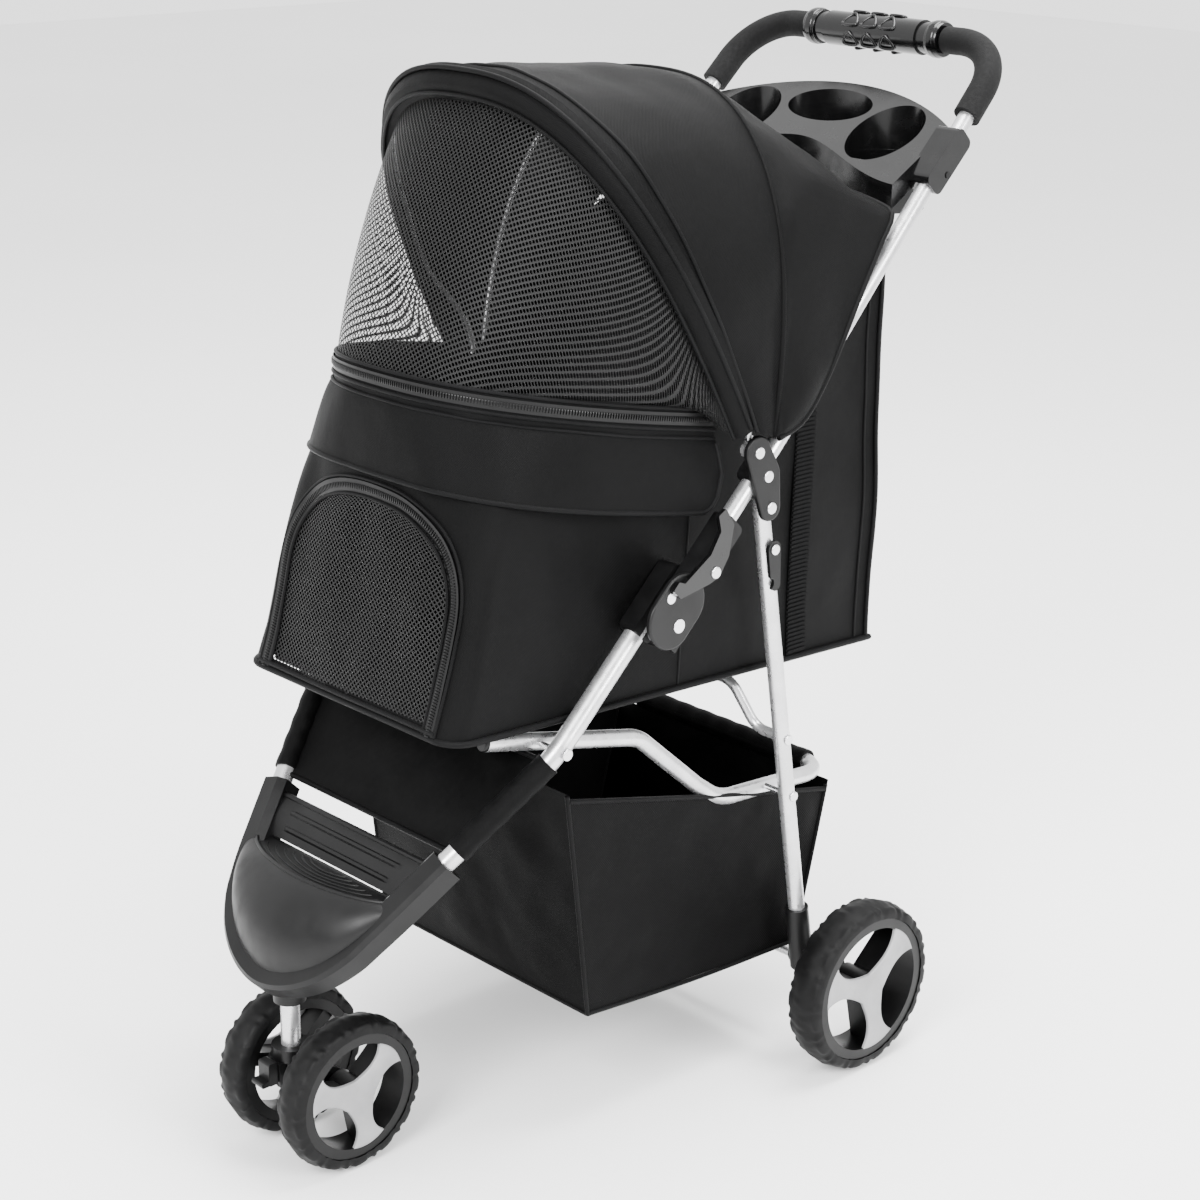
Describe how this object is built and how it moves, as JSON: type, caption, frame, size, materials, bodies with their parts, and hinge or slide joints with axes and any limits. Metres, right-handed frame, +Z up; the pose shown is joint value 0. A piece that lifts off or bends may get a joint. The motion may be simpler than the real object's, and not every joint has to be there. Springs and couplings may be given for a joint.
{
  "type": "pet stroller",
  "caption": "Folding three-wheel pet stroller with a fabric cabin, canopy with mesh window, parent tray, storage basket and swivelling front wheels.",
  "frame": {"origin": "on the ground under the middle of the stroller", "axes": "+Z up, -Y towards the front wheels, +X to the stroller's left"},
  "size_m": [0.49, 0.8044, 0.988],
  "materials": {
    "tyre_rubber": "moulded tread, slightly worn, satin",
    "wheel_black": "satin moulded",
    "wheel_silver": "silver paint on plastic",
    "frame_tube": "silver powder coat",
    "rivet_steel": "bright nickel",
    "grip_foam": "closed-cell foam, matt",
    "black_nylon": "coated oxford weave, slight sheen",
    "black_mesh": "open knitted mesh",
    "basket_fabric": "fine mesh sides, coated panels",
    "floor_fabric": "fabric-covered board",
    "gloss_black": "semi-gloss moulded",
    "moulded_black": "fine-grained moulded"
  },
  "bodies": {
    "front_frame": {"front_tube_left": "frame_tube", "front_tube_right": "frame_tube", "nose_shell": "moulded_black", "footrest_plate": "moulded_black", "caster_stem": "frame_tube", "latch_housing_left": "moulded_black", "latch_housing_right": "moulded_black", "frame_rivets": "rivet_steel", "sling_panel": "black_nylon", "cabin_walls": "black_nylon", "mesh_door": "black_mesh", "rim_skirt": "black_nylon"},
    "floor": {"floor_board": "floor_fabric"},
    "handle_frame": {"handle_tube_left": "frame_tube", "handle_tube_right": "frame_tube", "foam_grip_left": "grip_foam", "foam_grip_right": "grip_foam", "centre_grip": "gloss_black", "parent_tray": "gloss_black", "pivot_bracket_left": "moulded_black", "pivot_bracket_right": "moulded_black", "latch_arm_left": "moulded_black", "latch_arm_right": "moulded_black", "handle_rivets": "rivet_steel", "canopy_rear": "black_nylon"},
    "latch_lever_left": {"latch_lever_left": "gloss_black"},
    "latch_lever_right": {"latch_lever_right": "gloss_black"},
    "canopy_mid": {"mid_hoop": "frame_tube", "canopy_front": "black_nylon"},
    "canopy_front": {"front_hoop": "frame_tube", "front_window": "black_mesh"},
    "rear_legs": {"rear_leg_left": "frame_tube", "rear_leg_right": "frame_tube", "leg_arch": "frame_tube", "rear_axle": "frame_tube", "wheel_bracket_left": "moulded_black", "wheel_bracket_right": "moulded_black", "leg_rivets": "rivet_steel"},
    "transport_catch": {"transport_catch": "moulded_black"},
    "brake_left": {"brake_pedal_left": "moulded_black"},
    "brake_right": {"brake_pedal_right": "moulded_black"},
    "basket_rail": {"basket_rail": "frame_tube", "rail_plugs": "moulded_black", "storage_basket": "basket_fabric"},
    "caster": {"caster_housing": "moulded_black", "front_axle": "frame_tube"},
    "swivel_lock": {"swivel_lock": "moulded_black"},
    "rear_left_wheel": {"rear_left_tyre": "tyre_rubber", "rear_left_rim": "wheel_black", "rear_left_cover": "wheel_silver"},
    "rear_right_wheel": {"rear_right_tyre": "tyre_rubber", "rear_right_rim": "wheel_black", "rear_right_cover": "wheel_silver"},
    "front_left_wheel": {"front_left_tyre": "tyre_rubber", "front_left_rim": "wheel_black", "front_left_cover": "wheel_silver"},
    "front_right_wheel": {"front_right_tyre": "tyre_rubber", "front_right_rim": "wheel_black", "front_right_cover": "wheel_silver"}
  },
  "joints": [
    {"name": "handle_fold", "type": "hinge", "parent": "front_frame", "child": "handle_frame", "pos_m": [0, -0.0713, 0.5033], "axis": [1, 0, 0], "range_deg": [0, 120], "deforming": ["cabin_walls", "mesh_door", "rim_skirt", "front_window", "canopy_rear", "canopy_front", "storage_basket", "sling_panel"]},
    {"name": "rear_leg_fold", "type": "hinge", "parent": "handle_frame", "child": "rear_legs", "pos_m": [0, 0.0421, 0.5896], "axis": [1, 0, 0], "range_deg": [-46.2, 0]},
    {"name": "rail_fold", "type": "hinge", "parent": "front_frame", "child": "basket_rail", "pos_m": [0, -0.1817, 0.4036], "axis": [1, 0, 0], "range_deg": [0, 43.8]},
    {"name": "floor_lift", "type": "hinge", "parent": "front_frame", "child": "floor", "pos_m": [0, -0.2747, 0.436], "axis": [1, 0, 0], "range_deg": [0, 34.8]},
    {"name": "canopy_fold_mid", "type": "hinge", "parent": "handle_frame", "child": "canopy_mid", "pos_m": [0, 0.0243, 0.644], "axis": [1, 0, 0], "range_deg": [-15, 0], "deforming": ["canopy_front", "canopy_rear", "front_window"]},
    {"name": "canopy_fold_front", "type": "hinge", "parent": "canopy_mid", "child": "canopy_front", "pos_m": [0, 0.0243, 0.644], "axis": [1, 0, 0], "range_deg": [-22.5, 0]},
    {"name": "latch_release_left", "type": "hinge", "parent": "handle_frame", "child": "latch_lever_left", "pos_m": [0.2, -0.0327, 0.546], "axis": [1, 0, 0], "range_deg": [-24, 0], "stiffness_Nm_per_rad": 0.08},
    {"name": "latch_release_right", "type": "hinge", "parent": "handle_frame", "child": "latch_lever_right", "pos_m": [-0.2, -0.0327, 0.546], "axis": [1, 0, 0], "range_deg": [-24, 0], "stiffness_Nm_per_rad": 0.08},
    {"name": "catch_swing", "type": "hinge", "parent": "rear_legs", "child": "transport_catch", "pos_m": [0.195, 0.04947, 0.549], "axis": [1, 0, 0], "range_deg": [0, 70]},
    {"name": "brake_press_left", "type": "hinge", "parent": "rear_legs", "child": "brake_left", "pos_m": [0.161, 0.1453, 0.1], "axis": [1, 0, 0], "range_deg": [-10, 0]},
    {"name": "brake_press_right", "type": "hinge", "parent": "rear_legs", "child": "brake_right", "pos_m": [-0.161, 0.1453, 0.1], "axis": [1, 0, 0], "range_deg": [-10, 0]},
    {"name": "caster_swivel", "type": "hinge", "parent": "front_frame", "child": "caster", "pos_m": [0, -0.3587, 0.1], "axis": [0, 0, 1], "continuous": true},
    {"name": "swivel_lock_slide", "type": "slide", "parent": "caster", "child": "swivel_lock", "axis": [0, 0, 1], "range_m": [0, 0.006]},
    {"name": "rear_wheel_spin_left", "type": "hinge", "parent": "rear_legs", "child": "rear_left_wheel", "pos_m": [0.226, 0.1613, 0.086], "axis": [1, 0, 0], "continuous": true},
    {"name": "front_wheel_spin_left", "type": "hinge", "parent": "caster", "child": "front_left_wheel", "pos_m": [0.045, -0.3277, 0.074], "axis": [1, 0, 0], "continuous": true},
    {"name": "rear_wheel_spin_right", "type": "hinge", "parent": "rear_legs", "child": "rear_right_wheel", "pos_m": [-0.226, 0.1613, 0.086], "axis": [1, 0, 0], "continuous": true},
    {"name": "front_wheel_spin_right", "type": "hinge", "parent": "caster", "child": "front_right_wheel", "pos_m": [-0.045, -0.3277, 0.074], "axis": [1, 0, 0], "continuous": true}
  ],
  "couplings": [
    {"joint": "rear_leg_fold", "follows": "handle_fold", "ratio": -0.385},
    {"joint": "rail_fold", "follows": "handle_fold", "ratio": 0.365},
    {"joint": "floor_lift", "follows": "handle_fold", "ratio": 0.29},
    {"joint": "canopy_fold_front", "follows": "canopy_fold_mid", "ratio": 1.5}
  ]
}
